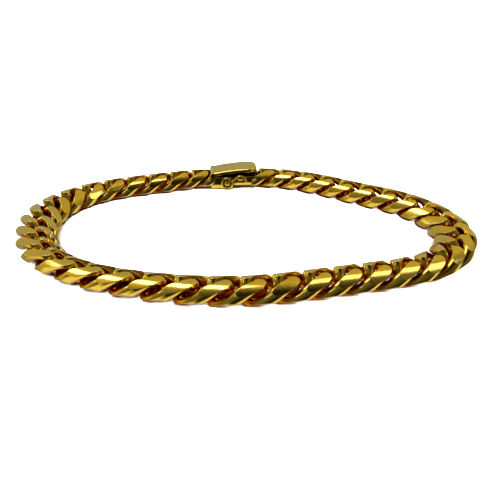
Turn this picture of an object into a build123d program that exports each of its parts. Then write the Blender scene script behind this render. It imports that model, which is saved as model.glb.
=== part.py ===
from build123d import *
import math
import os

# Curb link bracelet with a two-part clasp, lying closed on a flat surface.
# Millimetres. X runs along the clasp, Y from the front of the loop to the clasp, Z up.
# The origin is the middle of the loop's footprint, on the surface it lies on.

# Chain: the inner sizes of a link are given in wire diameters
link_count = 38
wire_diameter = 2.05
inner_length_ratio = 2.56
inner_width_ratio = 1.585
link_squareness = 3.2
link_twist = 104.0
play_ratio = 0.121
link_sections = 16
wire_sides = 6

# Filed dome over the top and the bottom of every link, in wire diameters: its height,
# and the radius of its curve at the crest
dome_height_ratio = 0.927
dome_radius_ratio = 2.44
dome_flats = 6

# Clasp: box on the left, body of the tongue on the right
box_length = 5.0
box_width = 7.1
box_height = 3.2
body_length = 5.0
body_width = 5.8
body_height = 2.5
half_gap = 0.35
bottom_rounding = 1.3
body_rounding = 0.9
edge_rounding = 0.3
end_link_reach = 0.15
end_link_bite = 0.9

# Tongue, and the pocket of the box that it slides into
tongue_reach = 3.05
tongue_width = 3.9
tongue_thickness = 1.2
pocket_clearance = 0.15

# Cover plate and its hinge
cover_overhang = 0.4
cover_width = 6.6
cover_thickness = 0.8
cover_rise_middle = 0.85
cover_rise_right = 1.05
cover_lip = 0.3
cover_end_radius = 0.7
cover_corner = 2.2
hinge_radius = 0.6
hinge_inset = 0.35
hinge_clearance = 0.15
lug_width = 2.0
lug_clearance = 0.1
pin_radius = 0.3
pin_clearance = 0.05
pin_seat = 0.01

# Safety latch, the tube that carries it and the ball it closes over
latch_wire = 0.56
latch_sides = 8
latch_wall_gap = 0.15
latch_ball_gap = 0.09
latch_waist = 22.0
ball_radius = 0.7
ball_neck_radius = 0.4
ball_from_split = 1.35
ball_top_gap = 0.1
tube_from_split = 0.75
tube_length = 1.2
tube_wall = 0.26
tube_clearance = 0.08
tube_end_gap = 0.2
saddle_height = 0.6

# The chain's way from the box's end link round the front to the tongue's end link:
# x and y from the middle of the clasp, and how far the outer edge is lifted, in degrees.
# The way is scaled a little so that it is as long as the links need.
ROUTE = [
    {"x": -10.3, "y": -0.7, "lean": 3.0},
    {"x": -15.1, "y": -2.2, "lean": 6.0},
    {"x": -24.6, "y": -5.5, "lean": 4.0},
    {"x": -32.9, "y": -10.9, "lean": 7.0},
    {"x": -37.5, "y": -19.7, "lean": 11.0},
    {"x": -37.1, "y": -29.6, "lean": 14.0},
    {"x": -33.3, "y": -38.7, "lean": 15.0},
    {"x": -25.7, "y": -45.3, "lean": 14.0},
    {"x": -16.5, "y": -49.1, "lean": 11.0},
    {"x": -6.7, "y": -51.2, "lean": 7.0},
    {"x": 3.2, "y": -51.4, "lean": 4.0},
    {"x": 13.1, "y": -49.8, "lean": 3.0},
    {"x": 22.9, "y": -47.9, "lean": 3.0},
    {"x": 32.3, "y": -44.5, "lean": 6.0},
    {"x": 38.6, "y": -36.9, "lean": 9.0},
    {"x": 39.2, "y": -27.1, "lean": 11.0},
    {"x": 34.7, "y": -18.2, "lean": 11.0},
    {"x": 27.2, "y": -11.7, "lean": 9.0},
    {"x": 19.2, "y": -5.1, "lean": 6.0},
    {"x": 10.3, "y": -0.7, "lean": 2.0},
]

# Sizes that follow from the ones above
wire_radius = wire_diameter / 2
link_half_length = wire_radius * (inner_length_ratio + 1)
link_half_width = wire_radius * (inner_width_ratio + 1)
pitch = 2 * link_half_length - wire_diameter * (1 + play_ratio)
dome_height = wire_diameter * dome_height_ratio
dome_radius = wire_diameter * dome_radius_ratio
axis_height = dome_height

box_right = -half_gap / 2
box_left = box_right - box_length
body_left = half_gap / 2
body_right = body_left + body_length
box_link_x = box_left - end_link_reach
body_link_x = body_right + end_link_reach

hinge_x = box_left + hinge_inset
hinge_z = box_height + hinge_clearance
cover_right = body_right + cover_overhang
cover_low = hinge_z + hinge_radius - cover_thickness

latch_radius = latch_wire / 2
bore_radius = latch_radius + tube_clearance
tube_radius = bore_radius + tube_wall
tube_left = body_left + tube_from_split
tube_right = tube_left + tube_length
latch_y = -box_width / 2 - latch_wall_gap - latch_radius
latch_z = axis_height + body_height / 2 - latch_radius / 4
ring_radius = ball_radius + latch_ball_gap + latch_radius
ball_x = box_right - ball_from_split
ball_z = latch_z - ball_top_gap - ring_radius


def signed_power(value, power):
    return math.copysign(abs(value) ** power, value)


def flat_sided_wire(points, radius, sides):
    """Closed ring of wire with flat sides, along a closed way of points."""
    count = len(points)
    middle = sum(points, Vector(0, 0, 0)) / count
    rings = []
    for i, here in enumerate(points):
        along = (points[(i + 1) % count] - points[i - 1]).normalized()
        outward = here - middle
        outward = (outward - along * along.dot(outward)).normalized()
        side = along.cross(outward)
        corners = []
        for j in range(sides):
            turn = 2 * math.pi * (j + 0.5) / sides
            corners.append(here + (outward * math.cos(turn) + side * math.sin(turn)) * radius)
        rings.append(corners)
    faces = []
    for i, near in enumerate(rings):
        far = rings[(i + 1) % count]
        for j in range(sides):
            k = (j + 1) % sides
            faces.append(Face(Wire.make_polygon([near[j], far[j], far[k]])))
            faces.append(Face(Wire.make_polygon([near[j], far[k], near[k]])))
    return Solid(Shell(faces))


def link_point(angle):
    """Point of the twisted centre line of one link, for an angle round it."""
    u = link_half_length * signed_power(math.cos(angle), 2 / link_squareness)
    v = link_half_width * signed_power(math.sin(angle), 2 / link_squareness)
    turn = -math.radians(link_twist / 2) * u / link_half_length
    return Vector(u, v * math.cos(turn), v * math.sin(turn))


def dome_envelope():
    """Bar with a domed top and bottom, inside which a filed link lies."""
    half = link_half_width + wire_diameter
    top = []
    for i in range(dome_flats + 1):
        v = half * (2 * i / dome_flats - 1)
        drop = v ** 2 / (2 * dome_radius)
        top.append((v, dome_height - min(drop, dome_height * 0.9)))
    bottom = [(v, -z) for v, z in reversed(top)]
    profile = make_face(Polyline(*top, *bottom, close=True))
    return extrude(Plane.YZ * profile, link_half_length + wire_diameter, both=True)


def filed_link():
    """One link, twisted so that the next lies flat in it, and filed to the dome."""
    step = 2 * math.pi / link_sections
    ring = flat_sided_wire([link_point(i * step) for i in range(link_sections)], wire_radius, wire_sides)
    return (ring & dome_envelope()).solid()


def end_link(link, centre, cut):
    """The half of an end link that stands out of a clasp body, up to the cut inside it."""
    reach = 2 * (link_half_length + wire_diameter)
    keep = Pos(cut + math.copysign(reach / 2, centre), 0, 0) * Box(reach, reach, reach)
    return (Pos(centre, 0, 0) * link) & keep


def clasp_block(left, right, width, height, rounding):
    """Block with rounded lower edges and eased upper ones, its underside at z = 0."""
    block = Pos((left + right) / 2, 0, height / 2) * Box(right - left, width, height)
    long_edges = block.edges().filter_by(Axis.X).sort_by(Axis.Z)
    block = fillet(long_edges[:2], rounding)
    long_edges = block.edges().filter_by(Axis.X).sort_by(Axis.Z)
    return fillet(long_edges[-2:], edge_rounding)


def along_x(radius, left, right, y, z):
    return Pos((left + right) / 2, y, z) * Rot(0, 90, 0) * Cylinder(radius, right - left)


def along_y(radius, near, far, x, z):
    return Pos(x, (near + far) / 2, z) * Rot(90, 0, 0) * Cylinder(radius, far - near)


def clasp_box(link):
    """Left half: pocket, end link, hinge lug for the cover and ball for the latch."""
    box = clasp_block(box_left, box_right, box_width, box_height, bottom_rounding)
    box += Pos(0, 0, axis_height) * end_link(link, box_link_x, box_left + end_link_bite)
    depth = tongue_reach + pocket_clearance
    box -= Pos(box_right - depth / 2, 0, axis_height) * Box(
        depth, tongue_width + 2 * pocket_clearance, tongue_thickness + 2 * pocket_clearance)

    # Room for the barrels of the cover, and for the end of its plate when it stands open
    room = hinge_radius + hinge_clearance
    half = cover_width / 2 + hinge_clearance
    box -= along_y(room, -half, half, hinge_x, hinge_z)
    box -= Pos(hinge_x - room / 2, 0, hinge_z + room) * Box(room, 2 * half, 2 * room)

    # Lug between the two barrels
    box += along_y(hinge_radius, -lug_width / 2, lug_width / 2, hinge_x, hinge_z)
    box += Pos(hinge_x, 0, hinge_z - room) * Box(2 * hinge_radius, lug_width, 2 * room)
    box -= along_y(pin_radius + pin_seat, -lug_width, lug_width, hinge_x, hinge_z)

    # Ball on its neck, on the near side
    box += along_y(ball_neck_radius, latch_y, -box_width / 2 + edge_rounding, ball_x, ball_z)
    box += Pos(ball_x, latch_y, ball_z) * Sphere(ball_radius)
    return box.solid()


def clasp_tongue(link):
    """Right half: body, tongue, end link and the tube that carries the latch."""
    body = Pos(0, 0, axis_height - body_height / 2) * clasp_block(
        body_left, body_right, body_width, body_height, body_rounding)
    body += Pos(0, 0, axis_height) * end_link(link, body_link_x, body_right - end_link_bite)
    tongue_end = box_right - tongue_reach
    root = body_left + edge_rounding
    body += Pos((tongue_end + root) / 2, 0, axis_height) * Box(
        root - tongue_end, tongue_width, tongue_thickness)

    # Tube on a saddle, on the near side
    side = -body_width / 2 + edge_rounding
    body += Pos((tube_left + tube_right) / 2, (latch_y + side) / 2, latch_z - saddle_height / 2) * Box(
        tube_length, side - latch_y, saddle_height)
    body += along_x(tube_radius, tube_left, tube_right, latch_y, latch_z)
    body -= along_x(bore_radius, tube_left, tube_right, latch_y, latch_z)
    return body.solid()


def clasp_cover():
    """Arched plate with a rounded right end that is bent down, and two barrels on the left."""
    middle = (hinge_x + cover_right) / 2
    bend_x = cover_right - cover_end_radius
    under = [(hinge_x, cover_low), (middle, cover_low + cover_rise_middle),
             (bend_x, cover_low + cover_rise_right)]
    over = [(x, z + cover_thickness) for x, z in under]
    end_z = over[2][1] - cover_end_radius
    lip_z = under[2][1] - cover_lip
    outline = [
        ThreePointArc(*under),
        Line(under[2], (bend_x, lip_z)),
        Line((bend_x, lip_z), (cover_right, lip_z)),
        Line((cover_right, lip_z), (cover_right, end_z)),
        RadiusArc((cover_right, end_z), over[2], -cover_end_radius),
        ThreePointArc(over[2], over[1], over[0]),
        Line(over[0], under[0]),
    ]
    plate = extrude(Plane.XZ * make_face(outline), cover_width / 2, both=True)
    length = cover_right - hinge_x + hinge_radius
    plan = Pos(cover_right - length / 2, 0, cover_low) * Box(length, cover_width, 4 * box_height)
    plan = fillet(plan.edges().filter_by(Axis.Z).sort_by(Axis.X)[-2:], cover_corner)
    cover = plate & plan

    inner = lug_width / 2 + lug_clearance
    room = hinge_radius + hinge_clearance
    cover -= Pos(hinge_x, 0, hinge_z) * Box(2 * room, 2 * inner, 4 * room)
    for near, far in ((-cover_width / 2, -inner), (inner, cover_width / 2)):
        cover += along_y(hinge_radius, near, far, hinge_x, hinge_z)
    cover -= along_y(pin_radius + pin_clearance, -cover_width, cover_width, hinge_x, hinge_z)
    return cover.solid()


def cover_pin():
    return along_y(pin_radius, -cover_width / 2, cover_width / 2, hinge_x, hinge_z).solid()


def safety_latch():
    """Closed wire: a ring round the ball, a waist, and a loop through and under the tube."""
    points = []
    steps = 12
    for i in range(steps + 1):
        angle = math.radians(latch_waist + (360 - 2 * latch_waist) * i / steps)
        points.append((ball_x + ring_radius * math.cos(angle), ball_z + ring_radius * math.sin(angle)))
    low_z = latch_z - tube_radius - tube_clearance - latch_radius
    loop_left = tube_left - tube_end_gap - latch_radius / 2
    loop_right = tube_right + tube_end_gap
    points.append((loop_left, low_z))
    loop_radius = (latch_z - low_z) / 2
    for angle in (-90, -45, 0, 45, 90):
        turn = math.radians(angle)
        points.append((loop_right + loop_radius * math.cos(turn), latch_z - loop_radius * (1 - math.sin(turn))))
    points.append((loop_left, latch_z))
    points.append((loop_left - latch_radius, latch_z - latch_radius))
    return flat_sided_wire([Vector(x, latch_y, z) for x, z in points], latch_radius, latch_sides)


def chain_way():
    """Curve through the route, as long as the links need, and its lean at its points."""
    wanted = (link_count + 1) * pitch
    scale = 1.0
    for _ in range(12):
        points = [(row["x"] * scale, row["y"] * scale) for row in ROUTE]
        points = [(box_link_x, 0), *points, (body_link_x, 0)]
        way = Spline(*points)
        scale *= wanted / way.length
    return way, points


def lean_at(share, points):
    """Lean at a share of the way, from the rows of the route on either side of it."""
    leans = [0.0] + [row["lean"] for row in ROUTE] + [0.0]
    runs = [math.dist(a, b) for a, b in zip(points, points[1:])]
    left = share * sum(runs)
    for run, before, after in zip(runs, leans, leans[1:]):
        if left <= run:
            return before + (after - before) * left / run
        left -= run
    return leans[-1]


def chain_links(link):
    """The loose links, each on the surface and in line with the way."""
    way, points = chain_way()
    links = []
    for i in range(link_count):
        share = (i + 1) / (link_count + 1)
        place = way.position_at(share)
        along = way.tangent_at(share)
        heading = math.degrees(math.atan2(along.Y, along.X))
        leaning = Rot(0, 0, heading) * Rot(-lean_at(share, points), 0, 0) * link
        links.append(Pos(place.X, place.Y, -leaning.bounding_box().min.Z) * leaning)
    return links


def bracelet():
    """All nodes by name, with the origin under the middle of the loop."""
    link = filed_link()
    nodes = {f"link_{i + 1:02d}": loose for i, loose in enumerate(chain_links(link))}
    nodes["clasp_box"] = clasp_box(link)
    nodes["clasp_tongue"] = clasp_tongue(link)
    nodes["clasp_cover"] = clasp_cover()
    nodes["cover_pin"] = cover_pin()
    nodes["safety_latch"] = safety_latch()
    around = Compound(list(nodes.values())).bounding_box()
    shift = Pos(-(around.min.X + around.max.X) / 2, -(around.min.Y + around.max.Y) / 2, 0)
    return {name: shift * solid for name, solid in nodes.items()}, shift


pieces, clasp_place = bracelet()
os.makedirs("parts", exist_ok=True)
for node, piece in pieces.items():
    export_step(piece, f"parts/{node}.step")
print("middle of the clasp", clasp_place.position)
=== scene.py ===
import math

import bmesh
import bpy
import numpy as np
from mathutils import Matrix, Vector


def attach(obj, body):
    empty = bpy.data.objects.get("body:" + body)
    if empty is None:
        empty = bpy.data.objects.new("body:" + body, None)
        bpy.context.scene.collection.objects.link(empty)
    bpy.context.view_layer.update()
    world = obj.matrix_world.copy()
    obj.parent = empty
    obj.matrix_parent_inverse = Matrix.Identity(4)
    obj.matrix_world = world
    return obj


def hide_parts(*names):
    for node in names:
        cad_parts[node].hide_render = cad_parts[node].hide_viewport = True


# Curb link bracelet with a box clasp, in polished yellow gold.
# Sizes are in millimetres unless a name says otherwise; meshes are written in metres.
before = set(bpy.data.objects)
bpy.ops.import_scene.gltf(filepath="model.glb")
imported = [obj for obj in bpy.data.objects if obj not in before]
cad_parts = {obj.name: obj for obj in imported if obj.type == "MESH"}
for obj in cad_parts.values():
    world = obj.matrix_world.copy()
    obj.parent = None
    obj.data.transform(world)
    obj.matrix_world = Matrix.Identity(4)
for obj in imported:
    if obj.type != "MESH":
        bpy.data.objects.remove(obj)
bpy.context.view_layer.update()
MM = 0.001

# Chain
wire_radius = 1.025
link_half_length = 3.649
link_half_width = 2.650
link_squareness = 3.2
link_twist = 104.0
dome_height = 1.900
dome_radius = 5.002
filed_edge = 0.06
filed_strip = 0.16
link_sections = 112
link_sides = 30
centre_line_steps = 6001

# Clasp, from the middle of the clasp
clasp_x = -0.921
clasp_y = 25.714
half_gap = 0.35
box_length = 5.0
box_width = 7.1
box_height = 3.2
body_length = 5.0
body_width = 5.8
body_height = 2.5
bottom_rounding = 1.3
bottom_rise = 2.0
body_rounding = 0.9
body_rise = 1.5
edge_rounding = 0.3
end_ease = 0.1
end_link_reach = 0.15
end_link_bite = 0.9
tongue_reach = 3.05
tongue_width = 3.9
tongue_thickness = 1.2
tongue_ease = 0.08
pocket_clearance = 0.15

# Cover plate and hinge
cover_overhang = 0.4
cover_width = 6.6
cover_thickness = 0.8
cover_rise_middle = 0.85
cover_rise_right = 1.05
cover_lip = 0.3
cover_end_radius = 0.7
cover_corner = 2.2
cover_bevel = 0.55
cover_bevel_drop = 0.2
cover_soft = 0.1
hinge_radius = 0.6
hinge_inset = 0.35
hinge_clearance = 0.15
barrel_ease = 0.06
lug_width = 2.0
lug_foot_share = 0.9
lug_foot_sink = 0.4
seam = 0.04
hug_share = 0.7
knuckle_overlap = 0.02
pin_radius = 0.3
pin_clearance = 0.05

# Latch, tube and ball
latch_radius = 0.28
latch_wall_gap = 0.15
latch_ball_gap = 0.09
latch_waist = 22.0
ball_radius = 0.7
ball_neck_radius = 0.4
ball_neck_sink = 0.1
ball_from_split = 1.35
ball_top_gap = 0.1
tube_from_split = 0.75
tube_length = 1.2
tube_wall = 0.26
tube_clearance = 0.08
tube_end_gap = 0.2
tube_ease = 0.08
saddle_height = 0.6
saddle_inset = 0.02

# Shared by several pieces: easing of small blocks, where an eased edge has its middle point, points
# round a barrel, angles above which an edge stays crisp, and how near to a cut counts as on it
block_ease = 0.05
ease_middle = 0.3
barrel_steps = 40
clasp_crease = 38
cover_crease = 34
wire_crease = 60
near_cut, near_strip_cut = 1e-5, 1e-4

# Gold: two tints between which it drifts, and the lowest and highest roughness with the strength of
# the scratches
bright_gold, deep_gold = (0.93, 0.63, 0.075), (0.88, 0.55, 0.045)
chain_polish = (0.07, 0.16, 0.25)
clasp_polish = (0.07, 0.14, 0.2)

# Painted shade on the gold, darker and redder in the recesses and towards the table: how far round the
# recesses are felt, how open the metal counts at the table, and the painted shade's tint from shut in to
# open. Above the last of these heights the table no longer paints shade on the metal.
chain_painted_shade = (1.6, 0.4, ((0.28, (0.32, 0.07, 0.025)), (0.5, (0.64, 0.33, 0.15)), (0.72, 1.0)))
clasp_painted_shade = (2.2, 1.0, ((0.25, (0.03, 0.012, 0.005)), (0.5, (0.5, 0.36, 0.2)), (0.72, 1.0)))
table_shade_reach = 1.8

# Shade of the floor under and inside the links: how far round it is felt, and the tint
floor_recess = (5.0, ((0.1, (0.05, 0.012, 0.004)), (0.18, (0.22, 0.1, 0.045)), (0.26, 0.9), (0.34, 1.0)))

# World that the metal mirrors: the way to the far side, levels of the room and of the table from
# the near side to the far side, a dark spot overhead, and the heights between which the two blend
far_side = (-0.25, 1.0, 0.0)
room_levels = (
    (0.0, 0.06), (0.12, 0.10), (0.3, 0.15), (0.5, 0.17), (0.6, 0.19), (0.66, 0.26),
    (0.72, (0.56, 0.50, 0.22)), (0.86, (0.48, 0.46, 0.28)),
    (0.93, (0.43, 0.44, 0.36)), (1.0, (0.38, 0.42, 0.45)),
)
table_levels = (
    (0.0, 0.01), (0.08, 0.012), (0.11, 0.03), (0.16, 0.4), (0.22, 0.95), (0.45, 0.95),
    (0.55, 0.6), (0.68, 0.35), (1.0, 0.4),
)
dark_spot = (0.14, -0.18, 0.97)
dark_core, dark_rim = 0.24, 0.54
dark_level = 0.05
table_edge = (-0.06, 0.02)

# Lamps: those of the floor as name, direction, strength and width in degrees, and those of the
# metal as name, directions of both ends, depth in metres, and glow, all at one distance in metres
floor_lamps = (("ceiling", (0.0, 0.0, 1.0), 3.0, 80.0), ("front", (-0.07, -1.0, 0.78), 18.0, 20.0))
lamp_distance = 0.4
lamp_colour = (0.42, 0.50, 1.0)
metal_lamps = (
    ("lamp_left", (-0.54, 0.56, 0.63), (0.04, 0.33, 0.94), 0.065, 11.0),
    ("lamp_right", (0.24, 0.32, 0.92), (0.76, 0.20, 0.62), 0.085, 3.5),
    ("lamp_near", (-0.50, -0.16, 0.85), (-0.68, -0.30, 0.67), 0.04, 5.0),
    ("lamp_low", (-0.84, 0.28, 0.46), (-0.86, 0.42, 0.29), 0.04, 5.0),
)

# Sizes that follow
box_right = -half_gap / 2
box_left = box_right - box_length
body_left = half_gap / 2
body_right = body_left + body_length
box_link_x = box_left - end_link_reach
body_link_x = body_right + end_link_reach
hinge_x = box_left + hinge_inset
hinge_z = box_height + hinge_clearance
cover_right = body_right + cover_overhang
cover_low = hinge_z + hinge_radius - cover_thickness
bore_radius = latch_radius + tube_clearance
tube_radius = bore_radius + tube_wall
tube_left = body_left + tube_from_split
tube_right = tube_left + tube_length
latch_y = -box_width / 2 - latch_wall_gap - latch_radius
latch_z = dome_height + body_height / 2 - latch_radius / 4
ring_radius = ball_radius + latch_ball_gap + latch_radius
ball_x = box_right - ball_from_split
ball_z = latch_z - ball_top_gap - ring_radius


# Meshes
def new_piece(name, bm, body, node, material):
    """Object from a bmesh in millimetres, already in the frame's place."""
    bmesh.ops.recalc_face_normals(bm, faces=bm.faces)
    mesh = bpy.data.meshes.new(name)
    bm.to_mesh(mesh)
    bm.free()
    mesh.transform(Matrix.Scale(MM, 4))
    return dress(name, mesh, body, node, material)


def dress(name, mesh, body, node, material):
    """Object from a mesh, which rides on a body and stands for a node."""
    mesh.materials.append(material)
    piece = bpy.data.objects.new(name, mesh)
    bpy.context.scene.collection.objects.link(piece)
    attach(piece, body)
    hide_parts(node)
    return piece


def shade_by_angle(piece, degrees):
    """Smooth shading, crisp only where faces meet at more than an angle."""
    piece.data.shade_smooth()
    piece.data.set_sharp_from_angle(angle=math.radians(degrees))


def finish_edges(piece, degrees):
    """Smooth shading with crisp edges, and normals that follow the larger faces."""
    shade_by_angle(piece, degrees)
    weighted = piece.modifiers.new("weighted", "WEIGHTED_NORMAL")
    weighted.keep_sharp = True


def skin(bm, loops, closed=False):
    """Faces between rings of points, each with as many points as the next, and over open ends."""
    rings = [[bm.verts.new(p) for p in loop] for loop in loops]
    pairs = list(zip(rings, rings[1:]))
    if closed:
        pairs.append((rings[-1], rings[0]))
    for near, far in pairs:
        for i in range(len(near)):
            j = (i + 1) % len(near)
            bm.faces.new((near[i], near[j], far[j], far[i]))
    if not closed:
        bm.faces.new(rings[0])
        bm.faces.new(rings[-1])


def ring_about(bm, centre, axis, profile, steps):
    """Closed ring of metal: a profile of (along, radius) points turned about an axis along X or Y."""
    loops = []
    for i in range(steps):
        turn = 2 * math.pi * i / steps
        c, s = math.cos(turn), math.sin(turn)
        if axis == "X":
            loops.append([centre + Vector((a, r * c, r * s)) for a, r in profile])
        else:
            loops.append([centre + Vector((r * c, a, r * s)) for a, r in profile])
    skin(bm, loops, closed=True)


def tube_profile(half, inner, outer, ease):
    """Section of a tube with eased ends, as (along, radius) points."""
    middle = ease * ease_middle
    return [(-half + ease, outer), (-half + middle, outer - middle), (-half, outer - ease),
            (-half, inner), (half, inner),
            (half, outer - ease), (half - middle, outer - middle), (half - ease, outer)]


def rounded_outline(half_width, low, high, low_round, high_round, low_rise):
    """Outline across X with rounded corners, as (y, z) points; the low ones have their own height."""
    steps = 8
    corners = (
        (half_width - low_round, low + low_rise, low_round, low_rise, -90),
        (half_width - high_round, high - high_round, high_round, high_round, 0),
        (-half_width + high_round, high - high_round, high_round, high_round, 90),
        (-half_width + low_round, low + low_rise, low_round, low_rise, 180),
    )
    points = []
    for y, z, wide, tall, start in corners:
        for i in range(steps + 1):
            turn = math.radians(start + 90 * i / steps)
            points.append((y + wide * math.cos(turn), z + tall * math.sin(turn)))
    return points


def eased_block(bm, low, high, ease):
    """Box with eased edges between two corners."""
    low, high = Vector(low), Vector(high)
    made = bmesh.ops.create_cube(bm, size=1.0)
    for v in made["verts"]:
        v.co = Vector([(a + b) / 2 + c * (b - a) for a, b, c in zip(low, high, v.co)])
    edges = {e for v in made["verts"] for e in v.link_edges}
    bmesh.ops.bevel(bm, geom=list(edges), offset=ease, segments=3, profile=0.5, affect="EDGES")


def in_frame(bm):
    """Moves a bmesh from the clasp's own place to the frame's."""
    bmesh.ops.translate(bm, verts=bm.verts, vec=(clasp_x, clasp_y, 0))
    return bm


# One link
def dome_drop(y):
    """How far the filed dome has fallen at a distance from the link's long axis."""
    return y ** 2 / (2 * dome_radius)


def link_centre_line(count):
    """Points of the twisted centre line, evenly spaced."""
    angle = np.linspace(0, 2 * math.pi, centre_line_steps)
    c, s = np.cos(angle), np.sin(angle)
    u = link_half_length * np.sign(c) * np.abs(c) ** (2 / link_squareness)
    v = link_half_width * np.sign(s) * np.abs(s) ** (2 / link_squareness)
    turn = -math.radians(link_twist / 2) * u / link_half_length
    line = np.stack([u, v * np.cos(turn), v * np.sin(turn)], axis=1)
    run = np.concatenate([[0], np.cumsum(np.linalg.norm(np.diff(line, axis=0), axis=1))])
    even = np.linspace(0, run[-1], count, endpoint=False)
    return np.stack([np.interp(even, run, line[:, k]) for k in range(3)], axis=1)


def file_flat(bm, side, normal_layer):
    """Files the top (side 1) or the bottom (side -1) to the dome, with an eased edge."""
    for v in bm.verts:
        v.co.z += side * dome_drop(v.co.y)
    up = Vector((0, 0, side))
    for level in (dome_height - filed_edge, dome_height):
        bmesh.ops.bisect_plane(
            bm, geom=bm.verts[:] + bm.edges[:] + bm.faces[:], dist=near_cut,
            plane_co=up * level, plane_no=up, clear_outer=level == dome_height)
    rim = [e for e in bm.edges if e.is_boundary]
    for v in {v for e in rim for v in e.verts}:
        own = Vector(v[normal_layer]).normalized()
        flat = Vector((0, v.co.y / dome_radius, side)).normalized()
        v.co -= (own - flat * own.dot(flat)) * filed_edge
        v.co.z = side * dome_height
    caps = bmesh.ops.holes_fill(bm, edges=rim, sides=0)["faces"]
    reach = link_half_width + wire_radius
    for i in range(int(2 * reach / filed_strip)):
        parts = caps + list({e for f in caps for e in f.edges}) + list({v for f in caps for v in f.verts})
        cut = bmesh.ops.bisect_plane(
            bm, geom=parts, dist=near_strip_cut,
            plane_co=(0, i * filed_strip - reach, 0), plane_no=(0, 1, 0))
        caps = [g for g in cut["geom"] if isinstance(g, bmesh.types.BMFace)]
    for v in {v for f in caps for v in f.verts}:
        v[normal_layer] = Vector((0, v.co.y / dome_radius, side)).normalized()
    for v in bm.verts:
        v.co.z -= side * dome_drop(v.co.y)


def filed_link():
    """One link in its own frame, with its normals in a layer."""
    line = link_centre_line(link_sections)
    along = np.roll(line, -1, axis=0) - np.roll(line, 1, axis=0)
    along /= np.linalg.norm(along, axis=1)[:, None]
    outward = line - (line * along).sum(axis=1)[:, None] * along
    outward /= np.linalg.norm(outward, axis=1)[:, None]
    across = np.cross(along, outward)
    bm = bmesh.new()
    normal_layer = bm.verts.layers.float_vector.new("own_normal")
    rings = []
    for i in range(link_sections):
        ring = []
        for j in range(link_sides):
            turn = 2 * math.pi * j / link_sides
            normal = outward[i] * math.cos(turn) + across[i] * math.sin(turn)
            v = bm.verts.new(line[i] + normal * wire_radius)
            v[normal_layer] = Vector(normal)
            ring.append(v)
        rings.append(ring)
    for i in range(link_sections):
        near, far = rings[i], rings[(i + 1) % link_sections]
        for j in range(link_sides):
            k = (j + 1) % link_sides
            bm.faces.new((near[j], far[j], far[k], near[k]))
    bmesh.ops.recalc_face_normals(bm, faces=bm.faces)
    file_flat(bm, 1, normal_layer)
    file_flat(bm, -1, normal_layer)
    return bm


def link_mesh(name, bm, place):
    """Mesh of a link at a place given in millimetres, with its own normals."""
    layer = bm.verts.layers.float_vector["own_normal"]
    normals = [(place.to_3x3() @ Vector(v[layer])).normalized() for v in bm.verts]
    mesh = bpy.data.meshes.new(name)
    bm.to_mesh(mesh)
    mesh.transform(Matrix.Scale(MM, 4) @ place)
    mesh.shade_smooth()
    mesh.normals_split_custom_set_from_vertices(normals)
    return mesh


def node_place(name):
    """Where a link lies: the middle of its solid and its long, cross and upward axes, in millimetres."""
    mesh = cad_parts[name].data
    mesh.calc_loop_triangles()
    points = np.empty(len(mesh.vertices) * 3)
    mesh.vertices.foreach_get("co", points)
    points = points.reshape(-1, 3) / MM
    start = points.mean(axis=0)
    corners = np.array([t.vertices[:] for t in mesh.loop_triangles])
    a, b, c = [points[corners[:, k]] - start for k in range(3)]
    volume = np.einsum("ij,ij->i", a, np.cross(b, c)) / 6
    total = a + b + c
    middle = (total * volume[:, None]).sum(axis=0) / 4 / volume.sum()
    spread = sum(np.einsum("i,ij,ik->jk", volume, p, p) for p in (a, b, c, total)) / 20 / volume.sum()
    spread -= np.outer(middle, middle)
    axes = np.linalg.eigh(spread)[1]
    up = Vector(axes[:, 0])
    if up.z < 0:
        up.negate()
    long = Vector(axes[:, 2])
    place = Matrix((long, up.cross(long), up)).transposed().to_4x4()
    place.translation = Vector(start + middle)
    return place


def loose_links(link, metal):
    """Every loose link where its solid lies, lifted where its fine wire would pass through the table."""
    for name in sorted(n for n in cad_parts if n.startswith("link_")):
        place = node_place(name)
        mesh = link_mesh("chain_" + name, link, place)
        lowest = min(v.co.z for v in mesh.vertices)
        if lowest < 0:
            mesh.transform(Matrix.Translation((0, 0, -lowest)))
        dress("chain_" + name, mesh, "bracelet", name, metal)


def end_link(name, link, centre, cut, node, metal):
    """End link of a clasp half, cut off inside the body that it is soldered to."""
    side = math.copysign(1, centre)
    half = link.copy()
    bmesh.ops.bisect_plane(
        half, geom=half.verts[:] + half.edges[:] + half.faces[:], dist=near_cut,
        plane_co=(cut - centre, 0, 0), plane_no=(-side, 0, 0), clear_outer=True)
    bmesh.ops.holes_fill(half, edges=[e for e in half.edges if e.is_boundary], sides=0)
    place = Matrix.Translation((clasp_x + centre, clasp_y, dome_height))
    mesh = link_mesh(name, half, place)
    half.free()
    dress(name, mesh, "bracelet", node, metal)


# Clasp
def block_stations(left, right, ease):
    """Places along X of a block's outlines, with how far each is drawn in."""
    steps = 4
    rows = []
    for i in range(steps + 1):
        turn = math.radians(90 * i / steps)
        rows.append((left + ease * (1 - math.sin(turn)), ease * (1 - math.cos(turn))))
    rows = rows[::-1]
    rows += [(right - (x - left), inset) for x, inset in rows[::-1]]
    return rows


def box_top(x):
    """Height of the box along X, with the round room for the hinge at its left end."""
    room = hinge_radius + hinge_clearance
    if abs(x - hinge_x) >= room:
        return box_height
    return min(box_height, hinge_z - math.sqrt(room ** 2 - (x - hinge_x) ** 2))


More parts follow.
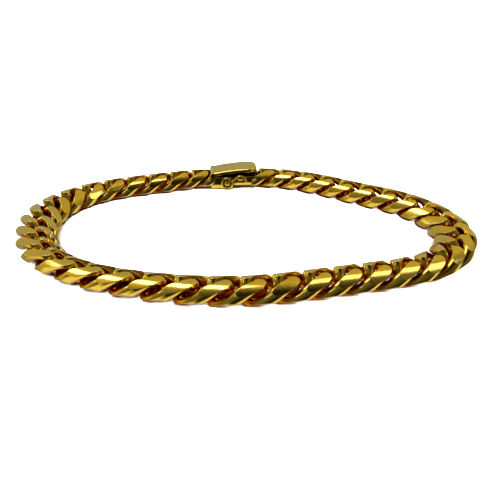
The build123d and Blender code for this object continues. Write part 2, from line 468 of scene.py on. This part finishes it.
def clasp_box(metal):
    """Left half of the clasp: box with its pocket and hinge lug, and the ball that holds the latch."""
    rows = block_stations(box_left, box_right, end_ease)
    room_end = hinge_x + math.sqrt((hinge_radius + hinge_clearance) ** 2 - hinge_clearance ** 2)
    steps = 10
    for i in range(steps + 1):
        rows.append((box_left + end_ease * 2 + (room_end - box_left - end_ease * 2) * i / steps, 0.0))
    rows.sort()
    loops = []
    for x, inset in rows:
        outline = rounded_outline(
            box_width / 2 - inset, inset, box_top(x) - inset,
            bottom_rounding - inset, edge_rounding - inset, bottom_rise - inset)
        loops.append([Vector((x, y, z)) for y, z in outline])
    bm = bmesh.new()
    mouth = []
    half_mouth = (tongue_width / 2 + pocket_clearance, tongue_thickness / 2 + pocket_clearance)
    for p in loops[-1]:
        y, z = p.y, p.z - dome_height
        reach = max(abs(y) / half_mouth[0], abs(z) / half_mouth[1])
        mouth.append(Vector((box_right, y / reach, dome_height + z / reach)))
    depth = tongue_reach + pocket_clearance
    loops.append(mouth)
    loops.append([p - Vector((depth, 0, 0)) for p in mouth])
    skin(bm, loops)

    hinge = Vector((hinge_x, 0, hinge_z))
    barrel = tube_profile(lug_width / 2, pin_radius, hinge_radius, barrel_ease)
    ring_about(bm, hinge, "Y", barrel, barrel_steps)
    foot = hinge_radius * lug_foot_share
    foot_low = hinge_z - hinge_radius - hinge_clearance - lug_foot_sink
    foot_high = hinge_z - pin_radius - pin_clearance
    eased_block(
        bm, (hinge_x - foot, -lug_width / 2, foot_low),
        (hinge_x + foot, lug_width / 2, foot_high), block_ease)
    piece = new_piece("box_body", in_frame(bm), "bracelet", "clasp_box", metal)
    finish_edges(piece, clasp_crease)

    bm = bmesh.new()
    ball = bmesh.ops.create_uvsphere(bm, u_segments=48, v_segments=28, radius=ball_radius)
    bmesh.ops.translate(bm, verts=ball["verts"], vec=(ball_x, latch_y, ball_z))
    wall = -box_width / 2 + ball_neck_sink
    core, ease, steps = 0.02, 0.01, 32
    neck = tube_profile((wall - latch_y) / 2, core, ball_neck_radius, ease)
    ring_about(bm, Vector((ball_x, (wall + latch_y) / 2, ball_z)), "Y", neck, steps)
    piece = new_piece("latch_ball", in_frame(bm), "bracelet", "clasp_box", metal)
    finish_edges(piece, clasp_crease)


def clasp_tongue(metal):
    """Right half of the clasp: body with its tongue, and the tube that carries the latch."""
    low = dome_height - body_height / 2
    loops = []
    for x, inset in block_stations(body_left, body_right, end_ease):
        outline = rounded_outline(
            body_width / 2 - inset, low + inset, low + body_height - inset,
            body_rounding - inset, edge_rounding - inset, body_rise - inset)
        loops.append([Vector((x, y, z)) for y, z in outline])
    bm = bmesh.new()
    skin(bm, loops)
    half = (tongue_width / 2, tongue_thickness / 2)
    eased_block(
        bm, (box_right - tongue_reach, -half[0], dome_height - half[1]),
        (body_left + edge_rounding, half[0], dome_height + half[1]), tongue_ease)
    piece = new_piece("tongue_body", in_frame(bm), "bracelet", "clasp_tongue", metal)
    finish_edges(piece, clasp_crease)

    bm = bmesh.new()
    middle = Vector(((tube_left + tube_right) / 2, latch_y, latch_z))
    tube = tube_profile(tube_length / 2, bore_radius, tube_radius, tube_ease)
    ring_about(bm, middle, "X", tube, barrel_steps)
    eased_block(
        bm, (tube_left + saddle_inset, latch_y + bore_radius + block_ease, latch_z - saddle_height),
        (tube_right - saddle_inset, -body_width / 2 + edge_rounding, latch_z - saddle_inset), block_ease)
    piece = new_piece("latch_tube", in_frame(bm), "bracelet", "clasp_tongue", metal)
    finish_edges(piece, clasp_crease)


def arc_through(a, b, c):
    """Function that gives the height at x of the circle through three (x, z) points."""
    (ax, az), (bx, bz), (cx, cz) = a, b, c
    d = 2 * (ax * (bz - cz) + bx * (cz - az) + cx * (az - bz))
    sa, sb, sc = ax ** 2 + az ** 2, bx ** 2 + bz ** 2, cx ** 2 + cz ** 2
    x0 = (sa * (bz - cz) + sb * (cz - az) + sc * (az - bz)) / d
    z0 = (sa * (cx - bx) + sb * (ax - cx) + sc * (bx - ax)) / d
    radius = math.hypot(ax - x0, az - z0)
    return lambda x: z0 + math.sqrt(radius ** 2 - (x - x0) ** 2)


def clasp_cover(metal):
    """Arched plate with bevelled edges, a rounded end with a lip, and two barrels round the pin."""
    middle = (hinge_x + cover_right) / 2
    bend = cover_right - cover_end_radius
    under_end = cover_low + cover_rise_right
    under = arc_through((hinge_x, cover_low), (middle, cover_low + cover_rise_middle), (bend, under_end))
    corner_start = cover_right - cover_corner

    def section(x, near=None, far=None, low=None):
        """Outline across X at x, whole or between two places across, with its own underside if given."""
        low, high = under(x) if low is None else low, under(x) + cover_thickness
        if x > bend:
            low = under_end - cover_lip
            dip = cover_end_radius - math.sqrt(max(cover_end_radius ** 2 - (x - bend) ** 2, 0))
            high = under_end + cover_thickness - dip
        half = cover_width / 2
        if x > corner_start:
            half -= cover_corner - math.sqrt(max(cover_corner ** 2 - (x - corner_start) ** 2, 0))
        near, far = (-half, half) if near is None else (near, far)
        thin = min(1.0, (high - low) / cover_thickness)
        soft = cover_soft * thin
        middle_soft = soft * ease_middle
        points = []
        for edge, inward in ((near, 1), (far, -1)):
            at_rim = abs(edge) > half - cover_bevel
            wide, drop = (cover_bevel, cover_bevel_drop * thin) if at_rim else (soft, soft)
            side = [
                (edge + inward * soft, low),
                (edge + inward * middle_soft, low + middle_soft),
                (edge, low + soft),
                (edge, high - drop - soft),
                (edge + inward * middle_soft, high - drop - middle_soft),
                (edge + inward * soft, high - drop * (1 - soft / wide)),
                (edge + inward * wide, high),
            ]
            points += side if inward > 0 else side[::-1]
        return [Vector((x, y, z)) for y, z in points]

    bm = bmesh.new()
    start = hinge_x + hinge_radius + seam
    plate_steps, end_steps, lip_step = 26, 12, 0.001
    rows = [start + (bend - start) * i / plate_steps for i in range(plate_steps + 1)]
    for i in range(1, end_steps + 1):
        rows.append(bend + cover_end_radius * math.sin(math.radians(90 * i / end_steps)))
    rows.append(bend + lip_step)
    skin(bm, [section(x) for x in sorted(rows)])

    # The plate closes on the lug in the middle, and on the pin's bore at both sides.
    inner = lug_width / 2 + seam
    hug = hinge_radius + seam * hug_share
    rows = [hug * share for share in (0.2, 0.35, 0.5, 0.65, 0.8, 0.9, 0.97, 1.0)]
    loops = [section(hinge_x + x, -inner, inner, hinge_z + math.sqrt(hug ** 2 - x ** 2)) for x in rows]
    skin(bm, loops + [section(start + knuckle_overlap, -inner, inner, hinge_z)])
    bore = pin_radius + pin_clearance
    rows = [bore * share for share in (0.0, 0.3, 0.6, 0.8, 0.95, 1.0)]
    past_bore = 0.01
    for near, far in ((-cover_width / 2, -inner), (inner, cover_width / 2)):
        loops = [section(hinge_x + x, near, far, hinge_z + math.sqrt(bore ** 2 - x ** 2)) for x in rows]
        loops += [section(x, near, far) for x in (hinge_x + bore + past_bore, start + knuckle_overlap)]
        skin(bm, loops)
        barrel = tube_profile((far - near) / 2, bore, hinge_radius, barrel_ease)
        ring_about(bm, Vector((hinge_x, (near + far) / 2, hinge_z)), "Y", barrel, barrel_steps)
    piece = new_piece("cover_plate", in_frame(bm), "cover", "clasp_cover", metal)
    finish_edges(piece, cover_crease)


def latch_way():
    """Closed way of the latch's wire in its own plane, as (x, z) points."""
    points = []
    steps = 12
    for i in range(steps + 1):
        turn = math.radians(latch_waist + (360 - 2 * latch_waist) * i / steps)
        points.append((ball_x + ring_radius * math.cos(turn), ball_z + ring_radius * math.sin(turn)))
    low_z = latch_z - tube_radius - tube_clearance - latch_radius
    loop_left = tube_left - tube_end_gap - latch_radius / 2
    loop_right = tube_right + tube_end_gap
    points.append((loop_left, low_z))
    points.append((loop_right - latch_radius, low_z))
    loop_radius = (latch_z - low_z) / 2
    for degrees in (-90, -45, 0, 45, 90):
        turn = math.radians(degrees)
        height = latch_z - loop_radius * (1 - math.sin(turn))
        points.append((loop_right + loop_radius * math.cos(turn), height))
    points.append((tube_right, latch_z))
    points.append((tube_left, latch_z))
    points.append((loop_left, latch_z))
    points.append((loop_left - latch_radius, latch_z - latch_radius))
    return points


def smooth_way(points, per_step):
    """Closed smooth curve through the points."""
    p = [Vector((x, z)) for x, z in points]
    count = len(p)
    out = []
    for i in range(count):
        a, b, c, d = p[i - 1], p[i], p[(i + 1) % count], p[(i + 2) % count]
        for k in range(per_step):
            t = k / per_step
            out.append(0.5 * (2 * b + (c - a) * t + (2 * a - 5 * b + 4 * c - d) * t ** 2
                              + (3 * b - 3 * c + d - a) * t ** 3))
    return out


def safety_latch(metal):
    """Round wire bent to a ring for the ball and a loop through the tube."""
    steps_between_points = 6
    way = smooth_way(latch_way(), steps_between_points)
    loops = []
    sides = 18
    for i, here in enumerate(way):
        along = (way[(i + 1) % len(way)] - way[i - 1]).normalized()
        out = Vector((along.y, -along.x))
        loop = []
        for j in range(sides):
            turn = 2 * math.pi * j / sides
            c, s = latch_radius * math.cos(turn), latch_radius * math.sin(turn)
            loop.append(Vector((here.x + out.x * c, latch_y + s, here.y + out.y * c)))
        loops.append(loop)
    bm = bmesh.new()
    skin(bm, loops, closed=True)
    piece = new_piece("latch_wire", in_frame(bm), "latch", "safety_latch", metal)
    shade_by_angle(piece, wire_crease)


# Materials
def new_material(name):
    """Material with its nodes, links and shader."""
    material = bpy.data.materials.new(name)
    material.use_nodes = True
    tree = material.node_tree
    return material, tree.nodes, tree.links, tree.nodes["Principled BSDF"]


def ramp_of(nodes, steps):
    """Colour ramp from (position, level or colour) rows."""
    ramp = nodes.new("ShaderNodeValToRGB")
    elements = ramp.color_ramp.elements
    for i, (position, level) in enumerate(steps):
        if i == 0:
            element = elements[0]
            element.position = position
        elif i == len(steps) - 1:
            element = elements[len(elements) - 1]
            element.position = position
        else:
            element = elements.new(position)
        colour = level if isinstance(level, tuple) else (level, level, level)
        element.color = (*colour, 1)
    return ramp


def gold(name, painted_shade_look, polish):
    """Polished gold with a drifting tint, painted shade that makes it redder and darker in the recesses
    and towards the table, and fine scratches.
    """
    shade_reach, shade_at_table, shade_steps = painted_shade_look
    rough_low, rough_high, scratch = polish
    material, nodes, links, shader = new_material(name)
    shader.inputs["Metallic"].default_value = 1.0
    place = nodes.new("ShaderNodeTexCoord")

    drift = nodes.new("ShaderNodeTexNoise")
    drift.inputs["Scale"].default_value = 260.0
    drift.inputs["Detail"].default_value = 3.0
    tint = ramp_of(nodes, ((0.3, deep_gold), (0.7, bright_gold)))
    links.new(place.outputs["Object"], drift.inputs["Vector"])
    links.new(drift.outputs["Fac"], tint.inputs["Fac"])

    # Painted shade: ambient occlusion times the height over the table darkens and reddens the colour in
    # recesses and low down.
    shade_ao = nodes.new("ShaderNodeAmbientOcclusion")
    shade_ao.samples = 8
    shade_ao.inputs["Distance"].default_value = shade_reach * MM
    painted_shade = ramp_of(nodes, shade_steps)
    shaded_tint = nodes.new("ShaderNodeMix")
    shaded_tint.data_type = "RGBA"
    shaded_tint.blend_type = "MULTIPLY"
    shaded_tint.inputs["Factor"].default_value = 1.0
    split = nodes.new("ShaderNodeSeparateXYZ")
    height = nodes.new("ShaderNodeMapRange")
    height.inputs["From Max"].default_value = table_shade_reach * MM
    height.inputs["To Min"].default_value = shade_at_table
    shade_factor = nodes.new("ShaderNodeMath")
    shade_factor.operation = "MULTIPLY"
    links.new(place.outputs["Object"], split.inputs["Vector"])
    links.new(split.outputs["Z"], height.inputs["Value"])
    links.new(shade_ao.outputs["AO"], shade_factor.inputs[0])
    links.new(height.outputs["Result"], shade_factor.inputs[1])
    links.new(shade_factor.outputs["Value"], painted_shade.inputs["Fac"])
    links.new(tint.outputs["Color"], shaded_tint.inputs["A"])
    links.new(painted_shade.outputs["Color"], shaded_tint.inputs["B"])
    links.new(shaded_tint.outputs["Result"], shader.inputs["Base Color"])
    # The painted shade also darkens the reflections.
    links.new(painted_shade.outputs["Color"], shader.inputs["Specular Tint"])

    stretch = nodes.new("ShaderNodeMapping")
    stretch.inputs["Scale"].default_value = (0.25, 1.0, 1.0)
    stretch.inputs["Rotation"].default_value = (0.0, 0.0, 0.6)
    fine = nodes.new("ShaderNodeTexNoise")
    fine.inputs["Scale"].default_value = 6000.0
    fine.inputs["Detail"].default_value = 2.0
    rough = nodes.new("ShaderNodeMapRange")
    rough.inputs["From Min"].default_value = 0.3
    rough.inputs["From Max"].default_value = 0.7
    rough.inputs["To Min"].default_value = rough_low
    rough.inputs["To Max"].default_value = rough_high
    links.new(place.outputs["Object"], stretch.inputs["Vector"])
    links.new(stretch.outputs["Vector"], fine.inputs["Vector"])
    links.new(fine.outputs["Fac"], rough.inputs["Value"])
    links.new(rough.outputs["Result"], shader.inputs["Roughness"])

    bump = nodes.new("ShaderNodeBump")
    bump.inputs["Strength"].default_value = scratch
    bump.inputs["Distance"].default_value = 0.00002
    links.new(fine.outputs["Fac"], bump.inputs["Height"])
    links.new(bump.outputs["Normal"], shader.inputs["Normal"])
    return material


def backdrop(name, points, faces, material):
    """Plain mesh around the object that the metal doesn't mirror."""
    mesh = bpy.data.meshes.new(name)
    mesh.from_pydata(points, [], faces)
    mesh.materials.append(material)
    piece = bpy.data.objects.new(name, mesh)
    bpy.context.scene.collection.objects.link(piece)
    piece.visible_glossy = False
    piece.visible_shadow = False
    return piece


def pale_floor():
    """White floor with a brown shade under and inside the links."""
    shade_reach, shade_steps = floor_recess
    reach, level = 4.0, -0.00002
    material, nodes, links, shader = new_material("pale_floor")
    shader.inputs["Roughness"].default_value = 0.9
    shader.inputs["Specular IOR Level"].default_value = 0.0
    under = nodes.new("ShaderNodeAmbientOcclusion")
    under.inputs["Distance"].default_value = shade_reach * MM
    shade = ramp_of(nodes, shade_steps)
    links.new(under.outputs["AO"], shade.inputs["Fac"])
    links.new(shade.outputs["Color"], shader.inputs["Base Color"])
    corners = [(x * reach, y * reach, level) for x, y in ((-1, -1), (1, -1), (1, 1), (-1, 1))]
    backdrop("floor", corners, [(0, 1, 2, 3)], material)


def pale_wall():
    """Round wall far behind the floor, which shows only where the view looks past the floor."""
    steps = 64
    radius, low, high = 3.9, -0.1, 4.0
    material, nodes, links, shader = new_material("pale_wall")
    place = nodes.new("ShaderNodeTexCoord")
    cloud = nodes.new("ShaderNodeTexNoise")
    cloud.inputs["Scale"].default_value = 0.4
    shade = ramp_of(nodes, ((0.3, 0.97), (0.7, 1.0)))
    links.new(place.outputs["Object"], cloud.inputs["Vector"])
    links.new(cloud.outputs["Fac"], shade.inputs["Fac"])
    links.new(shade.outputs["Color"], shader.inputs["Emission Color"])
    shader.inputs["Emission Strength"].default_value = 1.0
    turns = [2 * math.pi * i / steps for i in range(steps)]
    points = [(radius * math.cos(turn), radius * math.sin(turn), z) for z in (low, high) for turn in turns]
    faces = [(i, (i + 1) % steps, (i + 1) % steps + steps, i + steps) for i in range(steps)]
    wall = backdrop("wall", points, faces, material)
    wall.visible_diffuse = False


# Light and camera
def floor_lamp(name, direction, strength, width):
    """Wide light from far away that reaches only the floor."""
    data = bpy.data.lights.new(name, "SUN")
    data.energy = strength
    data.angle = math.radians(width)
    lamp = bpy.data.objects.new(name, data)
    lamp.rotation_euler = Vector(direction).to_track_quat("Z", "Y").to_euler()
    lamp.visible_glossy = False
    bpy.context.scene.collection.objects.link(lamp)


def metal_lamp(name, left, right, depth, glow):
    """Flat lamp between two directions, which only the metal mirrors."""
    left, right = (Vector(end).normalized() * lamp_distance for end in (left, right))
    data = bpy.data.lights.new(name, "AREA")
    data.shape = "RECTANGLE"
    data.color = lamp_colour
    data.size, data.size_y = (right - left).length, depth
    data.energy = glow * math.pi * data.size * depth
    lamp = bpy.data.objects.new(name, data)
    lamp.visible_diffuse = False
    bpy.context.scene.collection.objects.link(lamp)
    away = (left + right).normalized()
    across = (right - left).normalized()
    turn = Matrix((across, away.cross(across), away)).transposed()
    lamp.matrix_world = Matrix.Translation((left + right) / 2) @ turn.to_4x4()


def studio():
    """Dim room with a paler far side and table, which the metal mirrors, and the lamps."""
    world = bpy.data.worlds.new("studio")
    bpy.context.scene.world = world
    world.use_nodes = True
    nodes, links = world.node_tree.nodes, world.node_tree.links
    place = nodes.new("ShaderNodeTexCoord")
    away = nodes.new("ShaderNodeVectorMath")
    away.operation = "DOT_PRODUCT"
    away.inputs[1].default_value = far_side
    along = nodes.new("ShaderNodeMapRange")
    along.inputs["From Min"].default_value = -1.0
    room = ramp_of(nodes, room_levels)
    table = ramp_of(nodes, table_levels)
    links.new(place.outputs["Generated"], away.inputs[0])
    links.new(away.outputs["Value"], along.inputs["Value"])
    links.new(along.outputs["Result"], room.inputs["Fac"])
    links.new(along.outputs["Result"], table.inputs["Fac"])

    spot = nodes.new("ShaderNodeVectorMath")
    spot.operation = "DISTANCE"
    spot.inputs[1].default_value = dark_spot
    dark = nodes.new("ShaderNodeMapRange")
    dark.interpolation_type = "SMOOTHSTEP"
    dark.inputs["From Min"].default_value = dark_core
    dark.inputs["From Max"].default_value = dark_rim
    dark.inputs["To Min"].default_value = dark_level
    shaded = nodes.new("ShaderNodeVectorMath")
    shaded.operation = "SCALE"
    links.new(place.outputs["Generated"], spot.inputs[0])
    links.new(spot.outputs["Value"], dark.inputs["Value"])
    links.new(room.outputs["Color"], shaded.inputs[0])
    links.new(dark.outputs["Result"], shaded.inputs["Scale"])

    split = nodes.new("ShaderNodeSeparateXYZ")
    rise = nodes.new("ShaderNodeMapRange")
    rise.inputs["From Min"].default_value, rise.inputs["From Max"].default_value = table_edge
    blend = nodes.new("ShaderNodeMix")
    blend.data_type = "RGBA"
    links.new(place.outputs["Generated"], split.inputs["Vector"])
    links.new(split.outputs["Z"], rise.inputs["Value"])
    links.new(rise.outputs["Result"], blend.inputs["Factor"])
    links.new(table.outputs["Color"], blend.inputs["A"])
    links.new(shaded.outputs["Vector"], blend.inputs["B"])
    links.new(blend.outputs["Result"], nodes["Background"].inputs["Color"])

    for row in floor_lamps:
        floor_lamp(*row)
    for row in metal_lamps:
        metal_lamp(*row)


def photo_camera():
    """Camera at the photograph's place, for an image of 500 by 500."""
    focal_px, image_px, sensor, roll = 519.2, 500.0, 36.0, 0.638
    data = bpy.data.cameras.new("camera")
    data.sensor_width = sensor
    data.lens = focal_px / image_px * sensor
    data.clip_start = 0.001
    camera = bpy.data.objects.new("camera", data)
    bpy.context.scene.collection.objects.link(camera)
    camera.location = Vector((-5.776, -92.31, 42.47)) * MM
    target = Vector((0.662, -8.852, 0.0)) * MM
    camera.rotation_euler = (target - camera.location).to_track_quat("-Z", "Y").to_euler()
    camera.rotation_euler.rotate_axis("Z", math.radians(roll))
    bpy.context.scene.camera = camera
    bpy.context.scene.view_settings.view_transform = "Standard"


polished_gold = gold("polished_gold", chain_painted_shade, chain_polish)
clasp_gold = gold("clasp_gold", clasp_painted_shade, clasp_polish)
link = filed_link()
loose_links(link, polished_gold)
end_link("box_end_link", link, box_link_x, box_left + end_link_bite, "clasp_box", polished_gold)
end_link("tongue_end_link", link, body_link_x, body_right - end_link_bite, "clasp_tongue", polished_gold)
link.free()
clasp_box(clasp_gold)
clasp_tongue(clasp_gold)
clasp_cover(clasp_gold)
safety_latch(clasp_gold)
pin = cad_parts["cover_pin"]
for material_slot in pin.material_slots:
    material_slot.material = clasp_gold
pale_floor()
pale_wall()
studio()
photo_camera()
